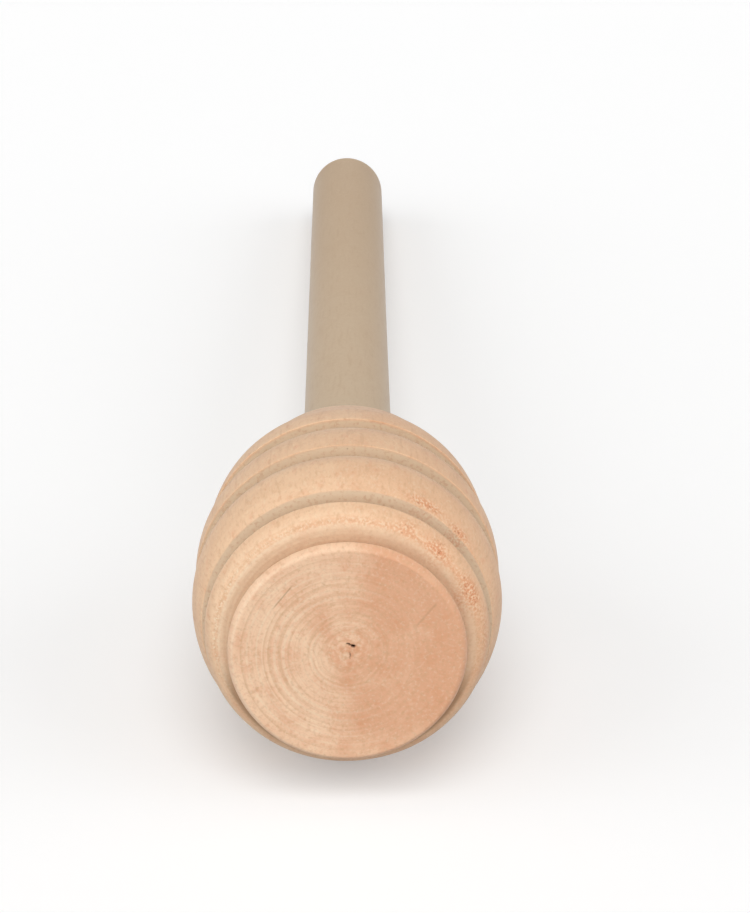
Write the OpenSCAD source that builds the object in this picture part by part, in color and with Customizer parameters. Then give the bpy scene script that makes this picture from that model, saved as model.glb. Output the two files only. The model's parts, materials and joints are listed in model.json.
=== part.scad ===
// Honey dipper: a lathe-turned wooden head with ring grooves, glued on a round handle.
// Each piece is drawn as it stood in the lathe, with its axis on +Z, the flat end
// grain of the head at 0 and the butt of the handle at full length. Module at_rest
// then lays the dipper on a table the way it comes to rest: on the widest part of
// the head and on the butt of the handle, with the head towards -Y.

/* [Overall] */
// Length from the end grain of the head to the butt of the handle
total_len = 150; // [140:1:180]

/* [Head] */
// Diameter at the widest ring
head_d = 30; // [29:0.1:31]
// Length of the head along the axis
head_len = 39; // [38.5:0.5:42]
// Distance from the end grain face to the widest ring
widest_at = 12.8; // [12.4:0.1:13.2]
// Radius of the short arc that rounds the head in front of the widest ring
front_arc = 21.4; // [21:0.2:23]
// Radius of the long arc that draws the head in behind the widest ring
rear_arc = 74; // [70:1:78]
// Radius that rounds the shoulder next to the handle
shoulder_round = 4; // [3:0.5:5]
// Radius that rounds the edge of the end grain face
face_round = 0.4; // [0.3:0.1:0.5]

/* [Grooves] */
// Middle of the groove next to the end grain face
first_groove = 1.9; // [1.8:0.1:2]
// Middle of the second groove
second_groove = 5.7; // [5.6:0.1:5.9]
// Distance from groove to groove behind the second
groove_pitch = 8.1; // [8:0.1:8.3]
// Number of grooves behind the second
rear_grooves = 3; // [2:1:3]
// Width of each groove between its two flat walls
groove_w = 1.5; // [1.2:0.1:1.6]
// Diameter left at the floor of the grooves
core_d = 16; // [14:0.5:17]
// Radius that rounds the rear edge of each rib
rib_round = 0.6; // [0.4:0.1:0.7]
// Radius that rounds the crisp front edge of the ribs behind the third
front_edge_round = 0.3; // [0.2:0.1:0.6]
// Radius that rounds the front edge of the second rib, which is worn and torn
worn_edge_round = 0.9; // [0.6:0.1:1]
// Radius that rounds the front edge of the third rib
soft_edge_round = 0.7; // [0.4:0.1:0.9]
// Radius that rounds the rear edge of the thin rib at the end grain face
thin_rib_round = 0.3; // [0.2:0.1:0.4]

/* [Handle] */
// Diameter of the handle
handle_d = 9.8; // [9:0.1:11]
// Radius that rounds the butt of the handle
butt_round = 2.4; // [1.5:0.1:3]
// Diameter of the tenon that enters the head
tenon_d = 7.8; // [7:0.1:8]
// Length of the tenon
tenon_len = 18; // [14:0.5:20]

/* [Glue joint] */
// Thickness of the glue film round the tenon
glue_t = 0.1; // [0.08:0.01:0.15]
// Room for squeezed glue between the tenon and the floor of the socket
glue_well = 1; // [0.5:0.1:1.5]

/* [Hidden] */
$fn = 96;

head_r = head_d / 2;
core_r = core_d / 2;
handle_r = handle_d / 2;
tenon_r = tenon_d / 2;
socket_r = tenon_r + glue_t;
socket_depth = tenon_len + glue_well;

// The head's outline is one arc in front of the widest ring and one behind it
function arc_at(s) = s < widest_at ? front_arc : rear_arc;

// Radius of the outline at distance s from the end grain face, or of a curve that
// runs inside it at a distance of inset
function outline(s, inset = 0) = let (arc = arc_at(s) - inset)
    head_r - arc_at(s) + sqrt(arc * arc - (s - widest_at) * (s - widest_at));

// Centre, as [radius, distance], of a rounding that touches the outline from inside
function round_centre(s, radius) = [outline(s, radius), s];

// A point well outside, in the direction in which such a rounding touches the outline
function beyond(centre, reach) = let (
        arc = arc_at(centre[1]),
        to_touch = centre - [head_r - arc, widest_at])
    centre + reach * to_touch / norm(to_touch);

// Distance from the end grain face at which such a rounding touches the outline
function touch_at(centre, radius) = beyond(centre, radius)[1];

// At rest one straight line touches the rear arc of the head and the rounding of
// the butt. rest_tilt is its angle to the axis, rest_lift is how far the middle of
// the face stands above it.
butt_s = total_len - butt_round;
butt_r = handle_r - butt_round;
arcs_dr = head_r - rear_arc - butt_r;
arcs_ds = widest_at - butt_s;
rest_tilt = atan2(arcs_ds, arcs_dr) + acos((butt_round - rear_arc) / norm([arcs_dr, arcs_ds]));
rest_lift = butt_r * cos(rest_tilt) + butt_s * sin(rest_tilt) + butt_round;

// Front and back end of the dipper along the table: the rounded edge of the face
// and the rounding of the butt
face_centre = round_centre(face_round, face_round);
rest_front = face_centre[1] * cos(rest_tilt) - face_centre[0] * sin(rest_tilt) - face_round;
rest_back = butt_s * cos(rest_tilt) + butt_r * sin(rest_tilt) + butt_round;

// Lays what is drawn on the lathe axis on the table
module at_rest() {
    translate([0, -(rest_front + rest_back) / 2, rest_lift])
        rotate([-90 - rest_tilt, 0, 0])
            children();
}

// Half of the head's outline, with its face edge and its shoulder rounded
module head_outline() {
    shoulder_centre = round_centre(head_len - shoulder_round, shoulder_round);
    face_touch = touch_at(face_centre, face_round);
    shoulder_touch = touch_at(shoulder_centre, shoulder_round);
    intersection() {
        translate([head_r - front_arc, widest_at]) circle(r = front_arc, $fn = 360);
        translate([0, face_touch]) square([head_r, widest_at - face_touch]);
    }
    intersection() {
        translate([head_r - rear_arc, widest_at]) circle(r = rear_arc, $fn = 360);
        translate([0, widest_at]) square([head_r, shoulder_touch - widest_at]);
    }
    translate(face_centre) circle(r = face_round);
    translate(shoulder_centre) circle(r = shoulder_round);
    square([face_centre[0], widest_at]);
    translate([0, widest_at]) square([shoulder_centre[0], head_len - widest_at]);
}

// Half of one groove: a slot with flat walls, and the mouth that is left where the
// ribs in front of it and behind it are rounded
module groove(mid, front_round, rear_round) {
    reach = 3;
    front = mid - groove_w / 2;
    rear = mid + groove_w / 2;
    front_centre = round_centre(front - front_round, front_round);
    rear_centre = round_centre(rear + rear_round, rear_round);
    difference() {
        polygon([
            [core_r, front],
            [front_centre[0], front],
            front_centre,
            beyond(front_centre, reach),
            beyond(rear_centre, reach),
            rear_centre,
            [rear_centre[0], rear],
            [core_r, rear]
        ]);
        translate(front_centre) circle(r = front_round);
        translate(rear_centre) circle(r = rear_round);
    }
}

// The turned head: ribs on one core, with the socket bored from the shoulder
module head() {
    color("burlywood") at_rest() difference() {
        rotate_extrude() difference() {
            head_outline();
            groove(first_groove, thin_rib_round, worn_edge_round);
            groove(second_groove, rib_round, soft_edge_round);
            for (i = [1:rear_grooves])
                groove(second_groove + i * groove_pitch, rib_round, front_edge_round);
        }
        translate([0, 0, head_len - socket_depth]) cylinder(r = socket_r, h = socket_depth + 1);
    }
}

// The handle: a round stick with a rounded butt and a turned tenon
module handle() {
    color("wheat") at_rest() rotate_extrude() {
        translate([0, head_len - tenon_len]) square([tenon_r, tenon_len]);
        translate([0, head_len]) square([handle_r, butt_s - head_len]);
        translate([0, head_len]) square([butt_r, total_len - head_len]);
        intersection() {
            translate([butt_r, butt_s]) circle(r = butt_round);
            translate([0, butt_s]) square([handle_r, butt_round]);
        }
    }
}

// The cured glue that fills the gap between the tenon and the socket
module glue_film() {
    color("ivory") at_rest() translate([0, 0, head_len - tenon_len]) difference() {
        cylinder(r = socket_r, h = tenon_len);
        translate([0, 0, -1]) cylinder(r = tenon_r, h = tenon_len + 2);
    }
}

head();
handle();
glue_film();
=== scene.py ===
"""Looks of a wooden honey dipper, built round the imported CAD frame.

The dipper lies on a pale table. Its grooved head and its handle are built here as
surfaces turned about the dipper's own axis, with the wear of a real turned piece:
uneven ribs, torn grain, turning rings and a crack at the pith. The glue film in the
joint stays the CAD node.
"""

import json
import logging
import math
from dataclasses import dataclass, field
from enum import Enum

import bpy
import numpy as np
from mathutils import Matrix, Vector

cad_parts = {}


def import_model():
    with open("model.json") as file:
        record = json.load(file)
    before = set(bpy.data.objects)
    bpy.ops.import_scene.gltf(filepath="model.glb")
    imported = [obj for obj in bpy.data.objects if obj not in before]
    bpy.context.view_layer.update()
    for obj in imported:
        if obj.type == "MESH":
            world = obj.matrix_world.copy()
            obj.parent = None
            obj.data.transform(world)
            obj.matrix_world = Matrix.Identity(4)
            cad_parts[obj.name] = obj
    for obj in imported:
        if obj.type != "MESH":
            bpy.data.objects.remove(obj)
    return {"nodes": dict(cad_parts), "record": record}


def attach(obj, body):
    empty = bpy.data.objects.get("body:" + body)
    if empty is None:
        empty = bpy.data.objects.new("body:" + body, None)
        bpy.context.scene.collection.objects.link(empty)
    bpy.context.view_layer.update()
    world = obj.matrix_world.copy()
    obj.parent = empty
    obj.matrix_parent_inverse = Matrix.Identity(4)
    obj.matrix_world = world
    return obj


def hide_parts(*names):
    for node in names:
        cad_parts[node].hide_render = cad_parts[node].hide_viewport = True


LOG = logging.getLogger("honey_dipper")
MM = 0.001
TURN = 2.0 * math.pi
COORDINATES = "lathe"
Rgba = tuple[float, float, float, float]
# Turn of the noise patterns, in radians, so that their grid never shows on the face
ASKEW = (0.6, 0.8, 0.5)
# Raised fibres per mm, drawn coarser than real ones, which are too fine to show
FUZZ_PER_MM = 4.0
# Typical radius of the rib tops, in mm
RIB_RADIUS = 14.3
SIDEWAYS = np.array([1.0, 0.0, 0.0])
WHITE = (1.0, 1.0, 1.0, 1.0)


class Mask(Enum):
    """Mesh attributes that tell the wood what it is at each vertex."""

    END_GRAIN = "end_grain"
    DEPTH = "depth"
    TORN = "torn"
    CRACK = "crack"


def linear(colour: str) -> Rgba:
    """Turn an sRGB hex colour into linear RGBA.

    Args:
        colour: the colour as "#RRGGBB".

    Returns:
        Red, green, blue and alpha 1, as shader sockets take them.
    """
    parts = [int(colour[i : i + 2], 16) / 255 for i in (1, 3, 5)]
    rgb = [c / 12.92 if c <= 0.04045 else ((c + 0.055) / 1.055) ** 2.4 for c in parts]
    return (*rgb, 1.0)


def smooth(low: float, high: float, value: np.ndarray) -> np.ndarray:
    """Return a smooth step from 0 at low to 1 at high."""
    t = np.clip((value - low) / (high - low), 0.0, 1.0)
    return t * t * (3.0 - 2.0 * t)


@dataclass(frozen=True)
class Ripple:
    """A smooth random relief round a turned surface, seamless in the angle.

    Attributes:
        height: standard deviation of the relief, in mm.
        lobes: highest number of waves round the axis.
        along: highest frequency along the profile, in radians per mm.
        terms: number of cosine waves that are added.
        seed: seed of the random waves.
    """

    height: float
    lobes: int
    along: float
    terms: int
    seed: int

    def at(self, angle: np.ndarray, run: np.ndarray) -> np.ndarray:
        """Sum the waves height * cos(lobe * angle + frequency * run + phase).

        Args:
            angle: angles round the axis, in radians.
            run: distances along the profile, in mm.

        Returns:
            The relief in mm, in the shape of the two arrays together.
        """
        rng = np.random.default_rng(self.seed)
        lobes = rng.integers(1, self.lobes + 1, self.terms)
        lobes = lobes * rng.choice([-1, 1], self.terms)
        frequencies = rng.uniform(0.0, self.along, self.terms)
        phases = rng.uniform(0.0, TURN, self.terms)
        total = np.zeros(np.broadcast(angle, run).shape)
        for lobe, frequency, phase in zip(lobes, frequencies, phases):
            total += np.cos(lobe * angle + frequency * run + phase)
        return total * self.height * math.sqrt(2.0 / self.terms)


@dataclass(frozen=True)
class Lathe:
    """The dipper's own axis in the row frame.

    Attributes:
        face: middle of the end grain face, in metres.
        axis: unit vector from that face to the butt of the handle.
    """

    face: np.ndarray
    axis: np.ndarray

    @classmethod
    def of(cls, record: dict) -> "Lathe":
        """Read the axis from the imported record's mounts.

        Args:
            record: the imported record.

        Returns:
            The lathe axis that both turned pieces share.
        """
        mounts = {mount["name"]: mount for mount in record["mounts"]}
        axis = np.array(mounts["handle_grip"]["axis"], float)
        face = np.array(mounts["head_face"]["pos_m"], float)
        return cls(face, axis / np.linalg.norm(axis))

    @property
    def up(self) -> np.ndarray:
        """Return the unit vector square to the axis that points away from the table."""
        return np.cross(SIDEWAYS, self.axis)

    def place(self, points: np.ndarray) -> np.ndarray:
        """Turn lathe coordinates into the row frame.

        Args:
            points: across, up and along the axis, in mm, in the last dimension.

        Returns:
            The same points in metres in the row frame.
        """
        basis = np.stack([SIDEWAYS, self.up, self.axis])
        return self.face + (points * MM) @ basis


@dataclass
class Turned:
    """A closed surface turned about the lathe axis, ready to become a mesh.

    Attributes:
        name: name of the piece.
        radius: radius at each profile point and angle, in mm.
        along: distance from the face at each profile point and angle, in mm.
        angle: angles round the axis, one for each column.
        poles: distance from the face of the first and last point, on the axis.
        masks: value at each profile point and angle, by attribute.
    """

    name: str
    radius: np.ndarray
    along: np.ndarray
    angle: np.ndarray
    poles: tuple[float, float]
    masks: dict[Mask, np.ndarray]

    def build(self, lathe: Lathe) -> bpy.types.Object:
        """Make the mesh object, with one vertex at each pole.

        Each vertex lies at radius * (sin angle, cos angle) off the axis. The face
        list joins neighbouring rings into quads and closes both ends with triangles.

        Args:
            lathe: the axis that the surface is turned about.

        Returns:
            The object, with its lathe coordinates and masks stored as attributes.
        """
        rings, columns = self.radius.shape
        across, up = self.radius * np.sin(self.angle), self.radius * np.cos(self.angle)
        points = np.stack([across, up, self.along], axis=-1).reshape(-1, 3)
        ends = np.array([[0.0, 0.0, self.poles[0]], [0.0, 0.0, self.poles[1]]])
        local = np.vstack([points, ends])
        grid = np.arange(rings * columns).reshape(rings, columns)
        after = np.roll(grid, -1, axis=1)
        quads = np.stack([grid[:-1], after[:-1], after[1:], grid[1:]], -1).reshape(-1, 4)
        first = np.stack([np.full(columns, len(points)), after[0], grid[0]], -1)
        last = np.stack([np.full(columns, len(points) + 1), grid[-1], after[-1]], -1)
        mesh = bpy.data.meshes.new(self.name)
        faces = [*quads.tolist(), *first.tolist(), *last.tolist()]
        mesh.from_pydata(lathe.place(local).tolist(), [], faces)
        mesh.polygons.foreach_set("use_smooth", np.ones(len(faces), bool))
        self._store(mesh, COORDINATES, "FLOAT_VECTOR", "vector", local)
        for mask, share in self.masks.items():
            values = np.broadcast_to(share, (rings, columns))
            ends = [values[0].mean(), values[-1].mean()]
            values = np.append(values.ravel(), ends)
            self._store(mesh, mask.value, "FLOAT", "value", values)
        mesh.update()
        piece = bpy.data.objects.new(self.name, mesh)
        bpy.context.scene.collection.objects.link(piece)
        return piece

    @staticmethod
    def _store(
        mesh: bpy.types.Mesh, name: str, kind: str, field_name: str, values: np.ndarray
    ) -> None:
        """Store one value or vector for each vertex as a named attribute."""
        attribute = mesh.attributes.new(name, kind, "POINT")
        attribute.data.foreach_set(field_name, values.astype(np.float32).ravel())


def filleted(corners: list[tuple[float, float, float]], steps: int) -> np.ndarray:
    """Round the corners of a profile.

    Each corner is replaced by the arc that touches both of its sides.

    Args:
        corners: two coordinates and the radius of the rounding, in mm, per corner.
        steps: number of points on each rounded corner.

    Returns:
        The profile's points, one row each.
    """
    points = []
    for index, (a, b, radius) in enumerate(corners):
        here = np.array([a, b])
        if radius <= 0.0:
            points.append(here)
            continue
        back = np.array(corners[index - 1][:2]) - here
        ahead = np.array(corners[index + 1][:2]) - here
        back, ahead = back / np.linalg.norm(back), ahead / np.linalg.norm(ahead)
        half = math.acos(float(np.clip(back @ ahead, -1, 1))) / 2
        inwards = (back + ahead) / np.linalg.norm(back + ahead)
        middle = here + inwards * (radius / math.sin(half))
        start = here + back * (radius / math.tan(half)) - middle
        end = here + ahead * (radius / math.tan(half)) - middle
        sweep = math.pi - 2 * half
        for t in np.linspace(0.0, 1.0, steps):
            share = [math.sin((1 - t) * sweep), math.sin(t * sweep)]
            points.append(middle + (share[0] * start + share[1] * end) / math.sin(sweep))
    return np.array(points)


def end_grain_share(along: np.ndarray, radius: np.ndarray) -> np.ndarray:
    """Tell how far a turned surface faces along its axis, as end grain does.

    Args:
        along: distances of the profile's points along the axis.
        radius: their distances from the axis.

    Returns:
        The share |radius step| / |step| at each point: 1 on end grain, 0 on sides.
    """
    step = np.gradient(np.stack([along, radius]), axis=1)
    return np.abs(step[1]) / np.maximum(np.hypot(*step), 1e-9)


@dataclass(frozen=True)
class Rib:
    """One rib of the head between two groove walls, in mm.

    Attributes:
        start: distance of its front wall from the face.
        end: distance of its rear wall from the face.
        front_round: radius that rounds its front edge.
        rear_round: radius that rounds its rear edge.
        sunk: how far its top stands inside the head's outline.
        droop: how much is worn off at the rear edge.
        reach: length of that worn end.
        lead: how much is worn off at the front edge.
        lead_reach: length of that worn end.
    """

    start: float
    end: float
    front_round: float
    rear_round: float
    sunk: float = 0.0
    droop: float = 0.0
    reach: float = 1.0
    lead: float = 0.0
    lead_reach: float = 1.0

    def corners(self, spacing: float) -> list[tuple[float, float, float]]:
        """Lay out the rib's top as distance, depth below the outline and rounding.

        The depth grows with the square of the distance into each worn end.

        Args:
            spacing: distance between the points on the top.

        Returns:
            The corners from the front edge to the rear edge.
        """
        low = self.start + self.front_round + 0.1
        high = self.end - self.rear_round - 0.1
        count = max(1, round((high - low) / spacing))
        tops = np.linspace(low, high, count) if count > 1 else [(low + high) / 2]
        made = [(self.start, self.sunk + self.lead, self.front_round)]
        for s in tops:
            rear = max(0.0, s - (self.end - self.reach)) / self.reach
            front = max(0.0, self.start + self.lead_reach - s) / self.lead_reach
            worn = self.droop * rear**2 + self.lead * front**2
            made.append((float(s), self.sunk + worn, 0.0))
        made.append((self.end, self.sunk + self.droop, self.rear_round))
        return made


def add_node(
    tree: bpy.types.NodeTree, kind: str, inputs: dict | None = None, **settings: object
) -> bpy.types.Node:
    """Add a shader node, set it and link it.

    Args:
        tree: the node tree to add to.
        kind: the node's type name without "ShaderNode".
        inputs: value, or socket that feeds it, by input name or index.
        **settings: properties of the node itself.

    Returns:
        The new node.
    """
    made = tree.nodes.new("ShaderNode" + kind)
    for name, value in settings.items():
        setattr(made, name, value)
    for key, value in (inputs or {}).items():
        if isinstance(value, bpy.types.NodeSocket):
            tree.links.new(value, made.inputs[key])
        else:
            made.inputs[key].default_value = value
    return made


def bare_material(name: str) -> bpy.types.Material:
    """Make a material whose node tree is still empty.

    Args:
        name: name of the finish.

    Returns:
        The new material.
    """
    material = bpy.data.materials.new(name)
    material.use_nodes = True
    material.node_tree.nodes.clear()
    return material


class Source(Enum):
    """What a layer of colour can follow, apart from the masks of the mesh."""

    PLACE = "lathe coordinates in mm"
    ACROSS = "mm to the side of the axis"
    UP = "mm above the axis"
    ALONG = "mm along the axis from the face"
    WARMTH = "nearness to the warmer side, from 0 to 1"
    BLOTCHES = "nearness to the warmer side, with soft blotches"
    FROM_PITH = "mm from a pith that wanders a little"
    RINGS = "growth rings round the pith"
    ARCS = "turning arcs round the middle of the face"


class Curve(Enum):
    """How a fade runs from its first share to its full one."""

    SMOOTH = "SMOOTHSTEP"
    STRAIGHT = "LINEAR"


@dataclass
class Figure:
    """The sockets in one wood's node tree that its layers of colour follow.

    Attributes:
        tree: the node tree.
        sockets: socket of each source, mask, pattern and mark made so far.
        warm_from: mm across the axis where the warmer side starts.
        warm_to: mm across the axis where it is fully warm.
    """

    tree: bpy.types.NodeTree
    sockets: dict[object, bpy.types.NodeSocket] = field(default_factory=dict)
    warm_from: float = -12.0
    warm_to: float = 14.0

    def __post_init__(self) -> None:
        """Make the places, the masks, the warmer side and the rings."""
        place = add_node(self.tree, "Attribute", attribute_name=COORDINATES)
        split = add_node(self.tree, "SeparateXYZ", {0: place.outputs["Vector"]})
        self.sockets[Source.PLACE] = place.outputs["Vector"]
        self.sockets[Source.ACROSS] = split.outputs["X"]
        self.sockets[Source.UP] = split.outputs["Y"]
        self.sockets[Source.ALONG] = split.outputs["Z"]
        for mask in Mask:
            attribute = add_node(self.tree, "Attribute", attribute_name=mask.value)
            self.sockets[mask] = attribute.outputs["Fac"]
        self._warm_side()
        self._rings()

    def _warm_side(self) -> None:
        """Make the warmer side, and the same plus 1.8 times blotches about 5 mm wide."""
        limits = {0: self.sockets[Source.ACROSS], 1: self.warm_from, 2: self.warm_to}
        warmth = add_node(self.tree, "MapRange", limits, interpolation_type="SMOOTHSTEP")
        self.sockets[Source.WARMTH] = warmth.outputs[0]
        terms = {0: self.follow(Speckle(0.22, 0.16, 2.0, 3.1)), 1: 1.8, 2: warmth.outputs[0]}
        blotches = add_node(self.tree, "Math", terms, operation="MULTIPLY_ADD")
        self.sockets[Source.BLOTCHES] = blotches.outputs[0]

    def _rings(self) -> None:
        """Make rings and arcs, each a noise of one distance square to the axis.

        The rings follow the distance from a pith that slow noise shifts to and fro,
        the arcs the distance from the axis itself. Scales are waves per mm.
        """
        place = self.sockets[Source.PLACE]
        askew = add_node(self.tree, "Mapping", {"Vector": place, "Rotation": ASKEW})
        slow = {"Vector": askew.outputs[0], "Scale": 0.2, "Detail": 2.0}
        bend = add_node(self.tree, "TexNoise", slow)
        terms = {0: bend.outputs["Color"], 1: (1.8, 1.8, 0.0), 2: (-1.0, -1.5, 0.0)}
        shift = add_node(self.tree, "VectorMath", terms, operation="MULTIPLY_ADD")
        terms = {0: place, 1: (1.0, 1.0, 0.0)}
        flat = add_node(self.tree, "VectorMath", terms, operation="MULTIPLY")
        terms = {0: flat.outputs[0], 1: shift.outputs[0]}
        off_pith = add_node(self.tree, "VectorMath", terms, operation="ADD")
        for source, vector, scale, detail in (
            (Source.RINGS, off_pith, 2.1, 2.0),
            (Source.ARCS, flat, 2.3, 3.0),
        ):
            away = add_node(self.tree, "VectorMath", {0: vector.outputs[0]}, operation="LENGTH")
            waves = {"W": away.outputs["Value"], "Scale": scale, "Detail": detail}
            noise = add_node(self.tree, "TexNoise", waves, noise_dimensions="1D")
            self.sockets[source] = noise.outputs["Fac"]
            if source is Source.RINGS:
                self.sockets[Source.FROM_PITH] = away.outputs["Value"]

    def follow(self, what: "Source | Mask | Speckle | Mark") -> bpy.types.NodeSocket:
        """Find a socket, and build it first if it is a pattern or mark not yet used.

        Args:
            what: a source, a mask, a speckle or a mark.

        Returns:
            Its socket.
        """
        if what not in self.sockets:
            self.sockets[what] = what.build(self)
        return self.sockets[what]


@dataclass(frozen=True)
class Speckle:
    """Random spots, each about 1 / across mm wide and 1 / along mm long.

    Attributes:
        across: spots per mm square to the axis.
        along: spots per mm along the axis.
        detail: number of finer octaves.
        offset: shift that makes the pattern its own.
    """

    across: float
    along: float
    detail: float
    offset: float

    def build(self, figure: Figure) -> bpy.types.NodeSocket:
        """Make the noise on the stretched and turned lathe coordinates.

        Args:
            figure: the wood that the spots are in.

        Returns:
            The noise, around 0.5.
        """
        stretched = {
            "Vector": figure.follow(Source.PLACE),
            "Scale": (self.across, self.across, self.along),
            "Location": (self.offset, self.offset, self.offset),
            "Rotation": ASKEW,
        }
        place = add_node(figure.tree, "Mapping", stretched)
        spots = {"Vector": place.outputs[0], "Scale": 1.0, "Detail": self.detail}
        return add_node(figure.tree, "TexNoise", spots).outputs["Fac"]


@dataclass(frozen=True)
class Mark:
    """A thin line on the wood: a scratch, a dark fibre or a short dry crack.

    Attributes:
        middle: middle of the line in lathe coordinates, in mm.
        run: half its length and its direction as one vector, in mm.
        width: half its width, in mm.
        strength: how dark it is, from 0 to 1.
    """

    middle: tuple[float, float, float]
    run: tuple[float, float, float]
    width: float
    strength: float

    @classmethod
    def on_side(
        cls, turn: float, along: float, length: float, width: float, strength: float
    ) -> "Mark":
        """Make a mark that runs along the axis on the side of the head.

        Args:
            turn: angle round the axis from the top, in degrees.
            along: distance of its middle from the face, in mm.
            length: half its length, in mm.
            width: half its width, in mm.
            strength: how dark it is, from 0 to 1.

        Returns:
            The mark, placed at a typical radius of the ribs.
        """
        angle = math.radians(turn)
        middle = (RIB_RADIUS * math.sin(angle), RIB_RADIUS * math.cos(angle), along)
        return cls(middle, (0.0, 0.0, length), width, strength)

    def build(self, figure: Figure) -> bpy.types.NodeSocket:
        """Make the mark's share from the distance beside its line and along it.

        Args:
            figure: the wood that the mark is on.

        Returns:
            The share: strength within 0.4 half widths and 0.6 half lengths of the
            middle, fading to 0 at 1.8 half widths and at the ends.
        """
        tree = figure.tree
        half = float(np.linalg.norm(self.run))
        way = tuple(c / half for c in self.run)
        terms = {0: figure.follow(Source.PLACE), 1: self.middle}
        off = add_node(tree, "VectorMath", terms, operation="SUBTRACT").outputs[0]
        terms = {0: off, 1: way}
        gone = add_node(tree, "VectorMath", terms, operation="DOT_PRODUCT").outputs["Value"]
        foot = add_node(tree, "VectorMath", {0: way, "Scale": gone}, operation="SCALE")
        terms = {0: off, 1: foot.outputs[0]}
        away = add_node(tree, "VectorMath", terms, operation="SUBTRACT").outputs[0]
        beside = add_node(tree, "VectorMath", {0: away}, operation="LENGTH").outputs["Value"]
        length = add_node(tree, "Math", {0: gone}, operation="ABSOLUTE").outputs[0]
        share = 1.0
        for limits in (
            {0: beside, 1: 1.8 * self.width, 2: 0.4 * self.width, 3: 0.0, 4: 1.0},
            {0: length, 1: half, 2: 0.6 * half, 3: 0.0, 4: self.strength},
        ):
            fade = add_node(tree, "MapRange", limits, interpolation_type="SMOOTHSTEP")
            terms = {0: share, 1: fade.outputs[0]}
            share = add_node(tree, "Math", terms, operation="MULTIPLY").outputs[0]
        return share


@dataclass(frozen=True)
class Fade:
    """A share that changes with a source, from rest to full.

    Attributes:
        source: the place, mask or pattern that it follows.
        low: value of the source up to which the share stays at rest.
        high: value from which it is full; where high is below low, it runs backwards.
        full: the full share.
        rest: the share at rest.
        curve: how it changes between the two.
    """

    source: Source | Mask | Speckle
    low: float
    high: float
    full: float = 1.0
    rest: float = 0.0
    curve: Curve = Curve.SMOOTH


@dataclass(frozen=True)
class Layer:
    """One colour over the wood, as dense as the product of its shares.

    Attributes:
        colour: the colour as sRGB hex.
        shares: fades, and sources, masks and marks that are taken as they are.
    """

    colour: str
    shares: tuple[Fade | Source | Mask | Mark, ...]

    def over(self, figure: Figure, under: Rgba | bpy.types.NodeSocket) -> bpy.types.NodeSocket:
        """Lay the colour over what is there.

        Args:
            figure: the wood that the colour is laid on.
            under: colour below, as linear RGBA or as a socket.

        Returns:
            The mixed colour.
        """
        density = 1.0
        for share in self.shares:
            if isinstance(share, Fade):
                value = figure.follow(share.source)
                limits = {0: value, 1: share.low, 2: share.high, 3: share.rest, 4: share.full}
                curve = share.curve.value
                fade = add_node(figure.tree, "MapRange", limits, interpolation_type=curve)
                value = fade.outputs[0]
            else:
                value = figure.follow(share)
            terms = {0: density, 1: value}
            density = add_node(figure.tree, "Math", terms, operation="MULTIPLY").outputs[0]
        both = {0: density, 6: under, 7: linear(self.colour)}
        return add_node(figure.tree, "Mix", both, data_type="RGBA").outputs[2]


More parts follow.
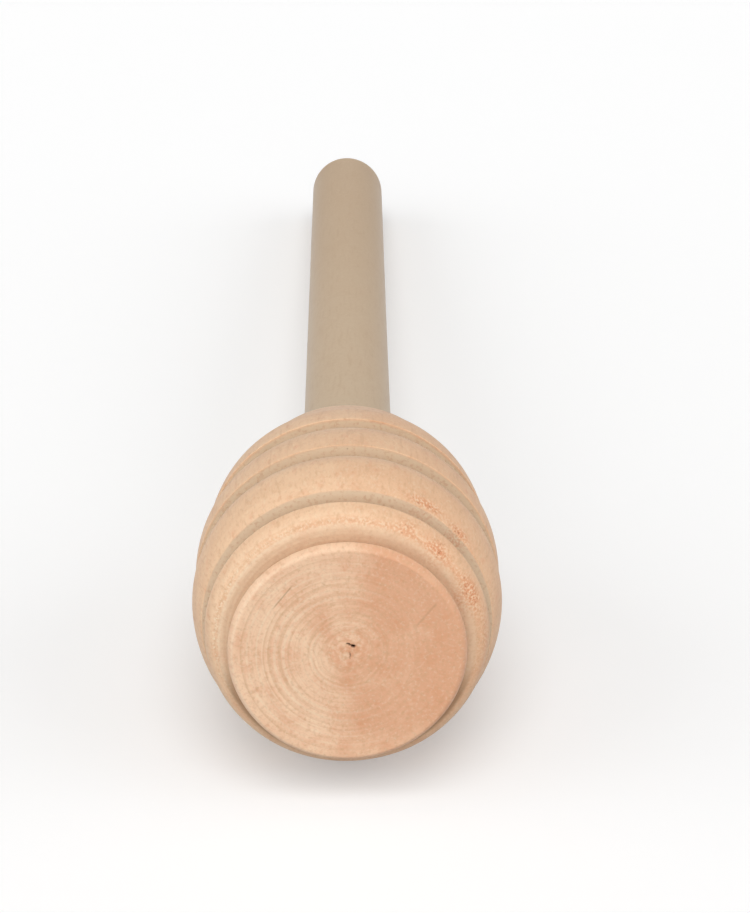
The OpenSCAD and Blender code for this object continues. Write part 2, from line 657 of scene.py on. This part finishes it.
@dataclass(frozen=True)
class Grain:
    """Colours and relief of one bare turned wood.

    Attributes:
        name: material name.
        pale: colour of the earlywood.
        warm: colour of the warmer, darker right side, partly its own tone, partly painted shade.
        side: colour of the long grain on the turned sides.
        ring: colour of ring lines and of dark fibres.
        red: colour round the pith and between torn fibres.
        cream: colour of pale flecks and of the painted highlights on raised fibres and turning
            arcs.
        groove: paler, greyer colour of the rough groove walls, partly painted light.
        shade: colour of scratches, of pits and of the painted shade in the first groove.
        roughness: roughness of the surface.
        contrast: strength of rings and fibres, from 0 to 1.
        fuzz: height of the raised fibres, in mm.
        sheen: weight of the light that loose fibres catch.
        arcs: strength of the painted light and shade of the turning arcs on the face.
        darkening: share of painted shade at the far end.
        marks: thin dark lines on the surface.
        gap: colour of the painted shade deep in a crack.
    """

    name: str
    pale: str
    warm: str
    side: str
    ring: str
    red: str
    cream: str
    groove: str
    shade: str
    roughness: float
    contrast: float
    fuzz: float
    sheen: float
    arcs: float = 0.0
    darkening: float = 0.0
    marks: tuple[Mark, ...] = ()
    gap: str = "#2A1A10"

    def figure_layers(self) -> list[Layer]:
        """List the wood's own layers, sides, rings and fibres, and some painted light and shade.

        Rings are drawn about 1 mm apart and fibres some 3 mm long. Real fibres and
        pores are finer than a pixel, so they are drawn 0.3 to 0.4 mm wide.

        Returns:
            The layers, in the order in which they are laid.
        """
        on_left = (Mask.END_GRAIN, Fade(Source.ACROSS, 9.0, -10.0, self.arcs))
        ring_share = Fade(Source.FROM_PITH, 2.0, 6.0, 0.18, 0.55, Curve.STRAIGHT)
        near_pith = Fade(Source.FROM_PITH, 3.4, 0.6)
        mottle = Fade(Speckle(2.0, 2.0, 4.0, 1.7), 0.35, 0.65, 0.55)
        patches = Fade(Speckle(0.55, 0.3, 4.0, 6.6), 0.5, 0.72, 0.35 * self.contrast)
        fibres = Fade(Speckle(2.4, 0.3, 4.0, 5.2), 0.5, 0.74, 0.55 * self.contrast)
        pores = Fade(Speckle(3.6, 2.0, 2.0, 8.4), 0.5, 0.72, 0.4 * self.contrast)
        glints = Fade(Speckle(3.6, 1.8, 3.0, 9.7), 0.5, 0.75, 0.35 * self.contrast)
        blushes = Fade(Speckle(1.5, 0.7, 5.0, 2.6), 0.56, 0.72, 0.3 * self.contrast)
        return [
            # The warmer, darker right side with soft blotches, partly the wood's own tone and
            # partly painted shade, and yellower long grain on the sides
            Layer(self.warm, (Fade(Source.BLOTCHES, 0.85, 1.85),)),
            Layer(self.side, (Fade(Source.ALONG, 0.2, 1.5, 0.7),)),
            # Growth rings, clearest near the pith, and redder wood round it
            Layer(self.ring, (Fade(Source.RINGS, 0.45, 0.7, self.contrast), ring_share)),
            Layer(self.red, (near_pith, Mask.END_GRAIN, mottle)),
            # Painted light and shade of the turning ridges: pale and dark arcs on the left of the
            # face
            Layer(self.cream, (Fade(Source.ARCS, 0.52, 0.66), *on_left)),
            Layer(self.ring, (Fade(Source.ARCS, 0.48, 0.36), *on_left)),
            # Soft redder patches in the end grain, and painted shade towards the far end, further
            # from the light
            Layer(self.red, (patches, Mask.END_GRAIN)),
            Layer(self.ring, (Fade(Source.ALONG, 40.0, 150.0, self.darkening),)),
            # Long fibres, then fine dark, pale and reddish flecks
            Layer(self.ring, (fibres,)),
            Layer(self.ring, (pores,)),
            Layer(self.cream, (glints,)),
            Layer(self.red, (blushes,)),
        ]

    def wear_layers(self) -> list[Layer]:
        """List the layers of wear and of painted light and shade: walls, tears and cracks.

        Tufts are drawn 0.2 to 0.3 mm wide, as torn fibres are too fine to show.

        Returns:
            The layers, in the order in which they are laid.
        """
        wall = (
            Fade(Mask.END_GRAIN, 0.75, 0.98),
            Fade(Mask.DEPTH, 0.1, 0.5, 0.9),
            Fade(Source.ALONG, 3.0, 6.0, 1.0, 0.4, Curve.STRAIGHT),
        )
        streaks = Fade(Speckle(2.8, 0.3, 3.0, 4.4), 0.5, 0.7, 0.5)
        under = (Fade(Source.UP, -1.5, -6.0), Fade(Source.ALONG, 3.4, 2.8))
        corner = (Fade(Mask.DEPTH, 0.15, 0.5, 0.7), Fade(Mask.END_GRAIN, 0.4, 0.75))
        tufts = Speckle(4.6, 3.4, 4.0, 7.3)
        cooler = Fade(Source.WARMTH, 0.0, 1.0, 0.2, 0.8, Curve.STRAIGHT)
        return [
            # Groove walls: a paler, greyer tint on the end grain deep in the grooves, partly
            # painted light that lifts their shade, with short streaks
            Layer(self.groove, wall),
            Layer(self.ring, (*wall, streaks)),
            # Painted shade in the first groove on the lower side of the head, in the shadow of
            # the face's rim
            Layer(self.shade, (*under, *corner)),
            # Torn fibres: cream tufts, painted highlights where raised fibres catch the light,
            # most on the cooler side; red gaps with dark pits on the warmer side
            Layer(self.cream, (Mask.TORN, Fade(tufts, 0.5, 0.66), cooler)),
            Layer(self.red, (Mask.TORN, Fade(tufts, 0.6, 0.44, 0.9), Source.WARMTH)),
            Layer(self.shade, (Mask.TORN, Fade(tufts, 0.4, 0.3, 0.8), Source.WARMTH)),
            *(Layer(self.shade, (mark,)) for mark in self.marks),
            # Painted shade deep in the cracks at the pith
            Layer(self.gap, (Mask.CRACK,)),
        ]

    def material(self) -> bpy.types.Material:
        """Build the procedural wood: layers of colour, raised fibres and a sheen.

        Returns:
            The material, which reads the lathe coordinates in mm and the masks.
        """
        material = bare_material(self.name)
        tree = material.node_tree
        figure = Figure(tree)
        colour = linear(self.pale)
        for layer in self.figure_layers() + self.wear_layers():
            colour = layer.over(figure, colour)
        place = {"Vector": figure.follow(Source.PLACE), "Scale": FUZZ_PER_MM, "Detail": 4.0}
        fuzz = add_node(tree, "TexNoise", place)
        height = {"Strength": 0.7, "Distance": self.fuzz * MM, "Height": fuzz.outputs["Fac"]}
        bump = add_node(tree, "Bump", height)
        looks = {
            "Base Color": colour,
            "Roughness": self.roughness,
            "Specular IOR Level": 0.3,
            "Normal": bump.outputs[0],
            "Sheen Weight": self.sheen,
            "Sheen Roughness": 0.35,
        }
        surface = add_node(tree, "BsdfPrincipled", looks)
        add_node(tree, "OutputMaterial", {"Surface": surface.outputs[0]})
        return material


# Beech, turned and left bare: matt and pinkish, flecked on its sides, ringed on its
# end grain, with painted highlights as pale tufts and reddish pits where fibres tore
HEAD_WOOD = Grain(
    name="head_beech_turned",
    pale="#F8D2B0",
    warm="#E5AE8A",
    side="#EDC6A0",
    ring="#D2A47C",
    red="#DB8E63",
    cream="#F6E2C6",
    groove="#E9D2B5",
    shade="#9C6E48",
    roughness=0.62,
    contrast=0.72,
    fuzz=0.04,
    sheen=0.25,
    arcs=0.35,
    marks=(
        Mark.on_side(0.2, 6.9, 0.45, 0.08, 0.6),
        Mark.on_side(0.0, 15.1, 0.9, 0.07, 0.45),
        Mark.on_side(-0.4, 11.0, 2.4, 0.05, 0.25),
        Mark.on_side(7.0, 22.9, 0.7, 0.09, 0.3),
        Mark.on_side(-9.0, 22.9, 0.5, 0.12, 0.3),
        Mark((-5.9, 5.9, 0.0), (-1.0, -1.3, 0.0), 0.06, 0.4),
        Mark((7.2, 4.1, 0.0), (-1.1, -1.4, 0.0), 0.09, 0.2),
    ),
)

# Handle wood, turned and sanded smoother than the head, with hardly any figure; its darker,
# greyer colours are painted shade
HANDLE_WOOD = Grain(
    name="handle_wood_painted_shade",
    pale="#D2BC9E",
    warm="#CDB292",
    side="#D0B798",
    ring="#B8966F",
    red="#C9A482",
    cream="#DCC9AE",
    groove="#C2A886",
    shade="#8E6E4C",
    roughness=0.5,
    contrast=0.4,
    fuzz=0.01,
    sheen=0.4,
    darkening=0.5,
)


@dataclass(frozen=True)
class Scar:
    """A place where the fibres of the head are torn out.

    Attributes:
        turn: angle of its middle round the axis from the top, in degrees.
        along: distance of its middle from the face, in mm.
        spread: half its width round the axis, in degrees.
        length: half its length along the axis, in mm.
        amount: how strong it is, from 0 to 1.
    """

    turn: float
    along: float
    spread: float
    length: float
    amount: float

    def at(self, angle: np.ndarray, along: np.ndarray) -> np.ndarray:
        """Return amount * exp(-off^2), off being the distance in half widths.

        Args:
            angle: angles round the axis, in radians.
            along: distances from the face, in mm.

        Returns:
            The scar's share at each place.
        """
        turned = np.angle(np.exp(1j * (angle - math.radians(self.turn))))
        off = (turned / math.radians(self.spread)) ** 2
        return self.amount * np.exp(-off - ((along - self.along) / self.length) ** 2)


@dataclass(frozen=True)
class Split:
    """A crack in the end grain, drawn as a chain of straight runs.

    Attributes:
        points: places on the face, across and up from its middle, in mm.
        width: half the width of the crack, in mm.
        depth: depth of the crack, in mm.
    """

    points: tuple[tuple[float, float], ...]
    width: float
    depth: float

    def share(self, across: np.ndarray, up: np.ndarray) -> np.ndarray:
        """Return 1 in the crack and 0 outside, from the distance to the nearest run.

        Args:
            across: distance from the middle of the face to the side, in mm.
            up: distance from the middle of the face upwards, in mm.

        Returns:
            The crack's share at each place.
        """
        nearest = np.full(np.broadcast(across, up).shape, np.inf)
        for (x0, y0), (x1, y1) in zip(self.points, self.points[1:]):
            run = np.array([x1 - x0, y1 - y0])
            t = ((across - x0) * run[0] + (up - y0) * run[1]) / (run @ run)
            t = np.clip(t, 0.0, 1.0)
            off = np.hypot(across - x0 - t * run[0], up - y0 - t * run[1])
            nearest = np.minimum(nearest, off)
        return 1.0 - smooth(0.4 * self.width, self.width, nearest)


@dataclass
class Head:
    """The turned head: ribs on one core, with a flat end grain face.

    All sizes are in mm, measured along the axis from the face or square to it.

    Attributes:
        wood: its finish.
        radius: radius of its outline at the widest place.
        length: its length.
        widest_at: where it is widest.
        front_arc: radius of the arc in front of that place.
        rear_arc: radius of the arc behind it.
        core_radius: radius of the groove floors.
        ribs: the ribs, from the face back.
        rim_width: width of the rim beside the face.
        rim_depths: depths of the points on that rim.
        rear_wall: depths of the points on a rib's rear wall.
        front_wall: depths of the points on a rib's front wall.
        spacing: distance between points on a rib.
        rear_flat: depth where the flat rear starts.
        socket_radius: radius of the tenon's socket.
        socket_depth: its depth.
        socket_floor: radii of the points on its floor.
        columns: number of points round the axis.
        inset: cut that keeps the unevenness inside the outline.
        wobble: unevenness of the radius.
        edge_wave: unevenness of the ribs along the axis.
        edge_start: distance over which that one grows.
        even_depths: depths between which both end.
        tear: relief of torn fibres.
        tear_depth: depth of a relief of 1.
        tear_limit: greatest relief that is cut.
        torn_to: depth down to which fibres are torn.
        ridges: relief of the turning ridges.
        ridge_height: height of a relief of 1.
        ridged: radii where ridges start, are full, fade and end.
        scars: places with torn fibres.
        pith: cracks at the pith.
        dark_crack: depth from which a crack's painted shade is full.
    """

    wood: Grain = HEAD_WOOD
    radius: float = 15.0
    length: float = 39.0
    widest_at: float = 12.8
    front_arc: float = 21.4
    rear_arc: float = 79.0
    core_radius: float = 8.0
    ribs: tuple[Rib, ...] = (
        Rib(0.0, 0.95, 0.2, 0.3, droop=0.2, reach=0.8),
        Rib(2.5, 4.95, 1.1, 0.4, sunk=-0.12, droop=0.15, reach=1.0, lead=0.1),
        Rib(6.6, 13.35, 0.12, 0.5, droop=0.55, reach=2.8, lead=0.25, lead_reach=3.0),
        Rib(15.3, 21.55, 0.12, 0.5, sunk=-0.06, droop=0.55, reach=3.0, lead=0.25, lead_reach=3.4),
        Rib(23.7, 29.3, 0.12, 0.6, sunk=-0.12, droop=0.35, reach=2.5, lead=0.22, lead_reach=3.4),
        Rib(30.75, 39.0, 0.4, 4.0, sunk=0.6),
    )
    rim_width: float = 0.8
    rim_depths: tuple[float, ...] = (0.5, 0.36, 0.27)
    rear_wall: tuple[float, ...] = (1.5, 2.6)
    front_wall: tuple[float, ...] = (2.6, 1.9, 1.5, 1.2)
    spacing: float = 0.33
    rear_flat: float = 5.5
    socket_radius: float = 4.0
    socket_depth: float = 19.0
    socket_floor: tuple[float, ...] = (2.0, 0.6)
    columns: int = 360
    inset: float = 0.1
    wobble: Ripple = Ripple(0.035, 3, 0.25, 8, 11)
    edge_wave: Ripple = Ripple(0.05, 7, 0.3, 14, 12)
    edge_start: float = 3.0
    even_depths: tuple[float, float] = (6.0, 7.5)
    tear: Ripple = Ripple(1.0, 150, 6.0, 60, 13)
    tear_depth: float = 0.09
    tear_limit: float = 1.8
    torn_to: float = 1.4
    ridges: Ripple = Ripple(1.0, 3, 9.0, 24, 14)
    ridge_height: float = 0.008
    ridged: tuple[float, float, float, float] = (0.6, 2.0, 9.0, 9.8)
    scars: tuple[Scar, ...] = (
        Scar(-10.0, 2.9, 70.0, 0.22, 0.7),
        Scar(-85.0, 2.9, 30.0, 0.25, 0.8),
        Scar(66.0, 3.1, 8.0, 0.6, 1.0),
        Scar(42.0, 3.2, 6.0, 0.6, 0.8),
        Scar(26.0, 3.4, 5.0, 0.5, 0.7),
        Scar(31.0, 7.3, 8.0, 0.6, 1.0),
        Scar(49.0, 7.0, 5.0, 0.5, 1.0),
        Scar(90.0, 3.6, 14.0, 0.7, 0.4),
    )
    pith: tuple[Split, ...] = (
        Split(((-0.02, 1.2), (0.14, 1.14), (0.34, 1.03)), 0.08, 0.4),
        Split(((0.44, 0.98), (0.62, 0.9)), 0.14, 0.5),
        Split(((0.2, 0.3), (0.3, 0.05), (0.24, -0.3)), 0.05, 0.12),
    )
    dark_crack: float = 0.25

    def outline(self, along: np.ndarray) -> np.ndarray:
        """Follow two arcs that meet level at the widest place.

        Args:
            along: distances from the face, in mm.

        Returns:
            The radius of the rib tops there, in mm.
        """
        off = along - self.widest_at
        arc = np.where(off < 0.0, self.front_arc, self.rear_arc)
        return self.radius - arc + np.sqrt(arc**2 - off**2)

    def profile(self) -> tuple[np.ndarray, np.ndarray]:
        """Lay out the profile as distance along the axis and depth below the outline.

        The ribs run near depth 0, each groove is a slot with rounded lips. Points lie
        closest together round the pith, for its cracks, and wider on the hidden rib.

        Returns:
            Distances from the face and depths below the outline, in mm.
        """
        edge = float(self.outline(0.0))
        near = np.linspace(0.08, 2.0, 20)
        far = np.linspace(2.0, edge - self.rim_width, 34)[1:]
        face = np.concatenate([near, far])
        corners = [(0.0, d, 0.0) for d in self.rim_depths]
        for rib, following in zip(self.ribs, self.ribs[1:]):
            middle = (rib.end + following.start) / 2
            floor = float(self.outline(middle)) - self.core_radius
            corners += rib.corners(self.spacing)
            corners += [(rib.end, d, 0.0) for d in (*self.rear_wall, floor)]
            corners.append((middle, floor, 0.0))
            corners += [(following.start, d, 0.0) for d in (floor, *self.front_wall)]
        corners += self.ribs[-1].corners(1.5 * self.spacing)
        corners.append((self.length, self.rear_flat, 0.0))
        side = filleted(corners, 8)
        wall = np.linspace(self.length, self.length - self.socket_depth, 6)
        inner_along = np.append(wall, [wall[-1]] * len(self.socket_floor))
        inner_radius = np.append(np.full(len(wall), self.socket_radius), self.socket_floor)
        along = np.concatenate([np.zeros(len(face)), side[:, 0], inner_along])
        inner_depth = self.outline(inner_along) - inner_radius
        return along, np.concatenate([edge - face, side[:, 1], inner_depth])

    def build(self, lathe: Lathe) -> bpy.types.Object:
        """Build the head as one closed surface and give it its wood.

        The radius is scaled by 1 + (sway - inset) / outline, so that the face stays
        joined to its rim. Torn places are cut in by their share times the part of a
        fine ripple that is above its mean. The face carries fine turning ridges.

        Args:
            lathe: the axis that it is turned about.

        Returns:
            The finished piece.
        """
        along, depth = self.profile()
        angle = np.arange(self.columns) * TURN / self.columns
        radius = self.outline(along) - depth
        end_grain = end_grain_share(along, radius)
        on_face = (along < 1e-6) & (radius < self.outline(0.0))
        s, a, r = along[:, None], angle[None, :], radius[:, None]

        outer = np.where(on_face, 1.0, 1.0 - smooth(*self.even_depths, depth))[:, None]
        sway = np.minimum(self.wobble.at(a, s), self.inset) - self.inset
        torn = np.clip(sum(scar.at(a, s) for scar in self.scars), 0.0, 1.0)
        torn = torn * (~on_face & (depth < self.torn_to))[:, None]
        cut = torn * np.clip(self.tear.at(a, s), 0.0, self.tear_limit) * self.tear_depth
        grown = r * (1.0 + outer * (sway - cut) / self.outline(s))

        moved = s + outer * self.edge_wave.at(a, s) * smooth(0.0, self.edge_start, s)
        flat = on_face[:, None] & np.ones_like(a, bool)
        x, y = r * np.sin(a), r * np.cos(a)
        crack = sum(split.share(x, y) * split.depth for split in self.pith)
        # Two standard deviations are kept to either side of the mean
        ridge = np.clip(self.ridges.at(a, r) + 2.0, 0.0, 4.0) * self.ridge_height
        start, full, fading, end = self.ridged
        ridge = ridge * smooth(start, full, r) * (1.0 - smooth(fading, end, r))
        moved = moved + np.where(flat, crack + ridge, 0.0)
        # Share of painted shade in the cracks, full from dark_crack deep
        crack_share = np.where(flat, np.clip(crack / self.dark_crack, 0.0, 1.0), 0.0)
        piece = Turned(
            "turned_head",
            np.broadcast_to(grown, (len(along), self.columns)),
            np.broadcast_to(moved, (len(along), self.columns)),
            angle,
            (0.0, self.length - self.socket_depth),
            {
                Mask.END_GRAIN: end_grain[:, None],
                Mask.DEPTH: np.where(on_face, 0.0, depth)[:, None],
                Mask.TORN: torn,
                Mask.CRACK: crack_share,
            },
        ).build(lathe)
        piece.data.materials.append(self.wood.material())
        return piece


@dataclass
class Handle:
    """The round handle with its tenon, in mm along the axis from the head's face.

    Attributes:
        wood: its finish.
        radius: its radius.
        tenon_radius: radius of the tenon.
        tenon_at: where the tenon ends.
        tenon_round: radius that rounds that end.
        shoulder_at: where the shoulder is.
        butt_round: radius that rounds the butt.
        columns: number of points round the axis.
        wave: unevenness of the radius.
        inset: cut that keeps nearly all unevenness inside.
        blend: length behind the shoulder over which it grows.
    """

    wood: Grain = HANDLE_WOOD
    radius: float = 4.9
    tenon_radius: float = 3.9
    tenon_at: float = 21.0
    tenon_round: float = 0.3
    shoulder_at: float = 39.0
    butt_round: float = 2.4
    columns: int = 144
    wave: Ripple = Ripple(0.02, 3, 0.05, 8, 21)
    inset: float = 0.05
    blend: float = 4.0

    def build(self, lathe: Lathe, butt_at: float) -> bpy.types.Object:
        """Build the handle as one closed surface and give it its wood.

        Args:
            lathe: the axis that it is turned about.
            butt_at: distance from the head's face to the butt.

        Returns:
            The finished piece.
        """
        corners = [(self.tenon_at, r, 0.0) for r in (0.5, 2.0)]
        corners += [(self.tenon_at, self.tenon_radius, self.tenon_round)]
        corners += [(self.shoulder_at, self.tenon_radius, 0.0)]
        corners += [(self.shoulder_at, self.radius, 0.0)]
        shaft = np.linspace(self.shoulder_at, butt_at - self.butt_round - 0.5, 150)
        corners += [(s, self.radius, 0.0) for s in shaft[1:]]
        corners += [(butt_at, self.radius, self.butt_round)]
        corners += [(butt_at, r, 0.0) for r in (2.0, 1.2, 0.5)]
        along, radius = filleted(corners, 10).T
        angle = np.arange(self.columns) * TURN / self.columns
        end_grain = end_grain_share(along, radius)
        sway = self.wave.at(angle[None, :], along[:, None]) - self.inset
        free = smooth(self.shoulder_at, self.shoulder_at + self.blend, along)[:, None]
        piece = Turned(
            "turned_handle",
            radius[:, None] + sway * free * (radius / self.radius)[:, None],
            np.repeat(along[:, None], self.columns, axis=1),
            angle,
            (self.tenon_at, butt_at),
            {Mask.END_GRAIN: end_grain[:, None]},
        ).build(lathe)
        piece.data.materials.append(self.wood.material())
        return piece


@dataclass(frozen=True)
class Glue:
    """Cured wood glue: a dull cream film, seen only if the joint is opened."""

    colour: str = "#E8DCBC"
    roughness: float = 0.5

    def dress(self, node: bpy.types.Object) -> None:
        """Give the CAD node of the glue film its material.

        Args:
            node: the CAD node, whose mesh stays as it is.
        """
        material = bare_material("cured_wood_glue")
        tree = material.node_tree
        looks = {"Base Color": linear(self.colour), "Roughness": self.roughness}
        surface = add_node(tree, "BsdfPrincipled", looks)
        add_node(tree, "OutputMaterial", {"Surface": surface.outputs[0]})
        node.data.materials.clear()
        node.data.materials.append(material)


@dataclass(frozen=True)
class Softbox:
    """A far, broad lamp that lights the whole table evenly.

    Attributes:
        name: name of the lamp.
        azimuth: direction it shines from, in degrees from the camera's side.
        height: its height above the horizon, in degrees.
        share: light it puts on a surface square to it; 1 shows colours as written.
        spread: width of the lamp as seen from the dipper, in degrees.
    """

    name: str
    azimuth: float
    height: float
    share: float
    spread: float

    def build(self) -> None:
        """Hang the lamp."""
        data = bpy.data.lights.new(self.name, "SUN")
        data.energy = self.share * math.pi
        data.angle = math.radians(self.spread)
        side, rise = math.radians(self.azimuth), math.radians(self.height)
        flat = math.cos(rise)
        towards = Vector((flat * math.sin(side), -flat * math.cos(side), math.sin(rise)))
        lamp = bpy.data.objects.new(self.name, data)
        lamp.location = towards
        lamp.rotation_mode = "QUATERNION"
        lamp.rotation_quaternion = towards.to_track_quat("Z", "Y")
        bpy.context.scene.collection.objects.link(lamp)


@dataclass
class Studio:
    """The table, the soft light and the camera of the photograph.

    Attributes:
        focal_px: focal length in pixels of the photograph.
        distance: distance of the camera from the face, in mm.
        elevation: angle of that line above the dipper's axis, in degrees.
        pitch: angle of the view below the axis, in degrees.
        frame_height_px: height of the photograph, in pixels.
        off_centre_px: shift of the dipper to the side, in pixels.
        sensor: size of the sensor, in mm.
        white: brightness of the table as the camera sees it.
        bounce: brightness of the table as it lights the dipper.
        glow: light added to the seen table, which thins the shadow.
        fill: strength of the surround as it lights the dipper.
        table_half: half the width of the table, in metres.
        lamps: the lamps.
    """

    focal_px: float = 2703.0
    distance: float = 249.0
    elevation: float = 26.5
    pitch: float = 22.29
    frame_height_px: float = 913.0
    off_centre_px: float = 27.6
    sensor: float = 36.0
    white: float = 0.85
    bounce: float = 0.45
    glow: float = 0.2
    fill: float = 0.3
    table_half: float = 3.0
    lamps: tuple[Softbox, ...] = (
        Softbox("key", 0.0, 62.0, 0.37, 40.0),
        Softbox("left", -75.0, 20.0, 0.34, 60.0),
        Softbox("right", 75.0, 20.0, 0.34, 60.0),
        Softbox("front", -10.0, 12.0, 0.26, 60.0),
    )

    def camera(self, lathe: Lathe) -> None:
        """Set the camera at the photograph's angle.

        Args:
            lathe: the dipper's axis, which the angles are measured from.
        """
        data = bpy.data.cameras.new("photograph")
        data.sensor_fit = "AUTO"
        data.sensor_width = self.sensor
        data.lens = self.focal_px / self.frame_height_px * self.sensor
        data.shift_x = self.off_centre_px / self.frame_height_px
        data.clip_start, data.clip_end = 0.01, 10.0
        camera = bpy.data.objects.new("photograph", data)
        bpy.context.scene.collection.objects.link(camera)
        rise, pitch = math.radians(self.elevation), math.radians(self.pitch)
        back = -math.cos(rise) * lathe.axis + math.sin(rise) * lathe.up
        look = math.cos(pitch) * lathe.axis - math.sin(pitch) * lathe.up
        top = math.sin(pitch) * lathe.axis + math.cos(pitch) * lathe.up
        right = np.cross(look, top)
        turn = Matrix(np.stack([right, top, -look], axis=1).tolist())
        place = Vector(lathe.face + back * self.distance * MM)
        camera.matrix_world = Matrix.Translation(place) @ turn.to_4x4()
        bpy.context.scene.camera = camera

    def light(self) -> None:
        """Light the scene with a white surround and the soft lamps."""
        world = bpy.data.worlds.new("studio")
        bpy.context.scene.world = world
        world.use_nodes = True
        tree = world.node_tree
        tree.nodes.clear()
        path = add_node(tree, "LightPath")
        fill = add_node(tree, "Background", {"Color": WHITE, "Strength": self.fill})
        seen = add_node(tree, "Background", {"Color": WHITE, "Strength": 1.0})
        either = {0: path.outputs["Is Camera Ray"], 1: fill.outputs[0], 2: seen.outputs[0]}
        both = add_node(tree, "MixShader", either)
        add_node(tree, "OutputWorld", {"Surface": both.outputs[0]})
        for lamp in self.lamps:
            lamp.build()

    def floor(self) -> None:
        """Lay a large white table under the dipper."""
        mesh = bpy.data.meshes.new("table")
        half = self.table_half
        corners = [(-half, -half, 0), (half, -half, 0), (half, half, 0), (-half, half, 0)]
        mesh.from_pydata(corners, [], [(0, 1, 2, 3)])
        table = bpy.data.objects.new("table", mesh)
        bpy.context.scene.collection.objects.link(table)
        # Matt white board: it shows the soft shadow and nothing else
        material = bare_material("white_table")
        tree = material.node_tree
        seen = add_node(tree, "LightPath").outputs["Is Camera Ray"]
        share = {0: seen, 3: self.bounce, 4: self.white}
        tone = add_node(tree, "MapRange", share).outputs[0]
        matt = add_node(tree, "BsdfDiffuse", {"Color": tone})
        share = {0: seen, 4: self.glow}
        lift = add_node(tree, "MapRange", share).outputs[0]
        glow = add_node(tree, "Emission", {"Strength": lift})
        both = add_node(tree, "AddShader", {0: matt.outputs[0], 1: glow.outputs[0]})
        add_node(tree, "OutputMaterial", {"Surface": both.outputs[0]})
        mesh.materials.append(material)


def main() -> None:
    """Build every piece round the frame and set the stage."""
    logging.basicConfig(level=logging.INFO, format="%(message)s")
    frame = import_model()
    bpy.context.scene.view_settings.view_transform = "Standard"
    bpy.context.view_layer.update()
    lathe = Lathe.of(frame["record"])
    grip = next(m for m in frame["record"]["mounts"] if m["name"] == "handle_grip")
    middle = (np.array(grip["pos_m"]) - lathe.face) @ lathe.axis / MM
    handle_shape = Handle()
    butt_at = middle + grip["dims"]["length_mm"] / 2 + handle_shape.butt_round

    head = Head().build(lathe)
    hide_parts("head")
    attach(head, "root")
    LOG.info("head: %d faces", len(head.data.polygons))

    handle = handle_shape.build(lathe, butt_at)
    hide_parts("handle")
    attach(handle, "root")
    LOG.info("handle: %d faces", len(handle.data.polygons))

    Glue().dress(frame["nodes"]["glue_film"])
    LOG.info("glue film: CAD node, dressed")

    studio = Studio()
    studio.floor()
    studio.light()
    studio.camera(lathe)
    LOG.info("stage set")


if __name__ == "__main__":
    main()
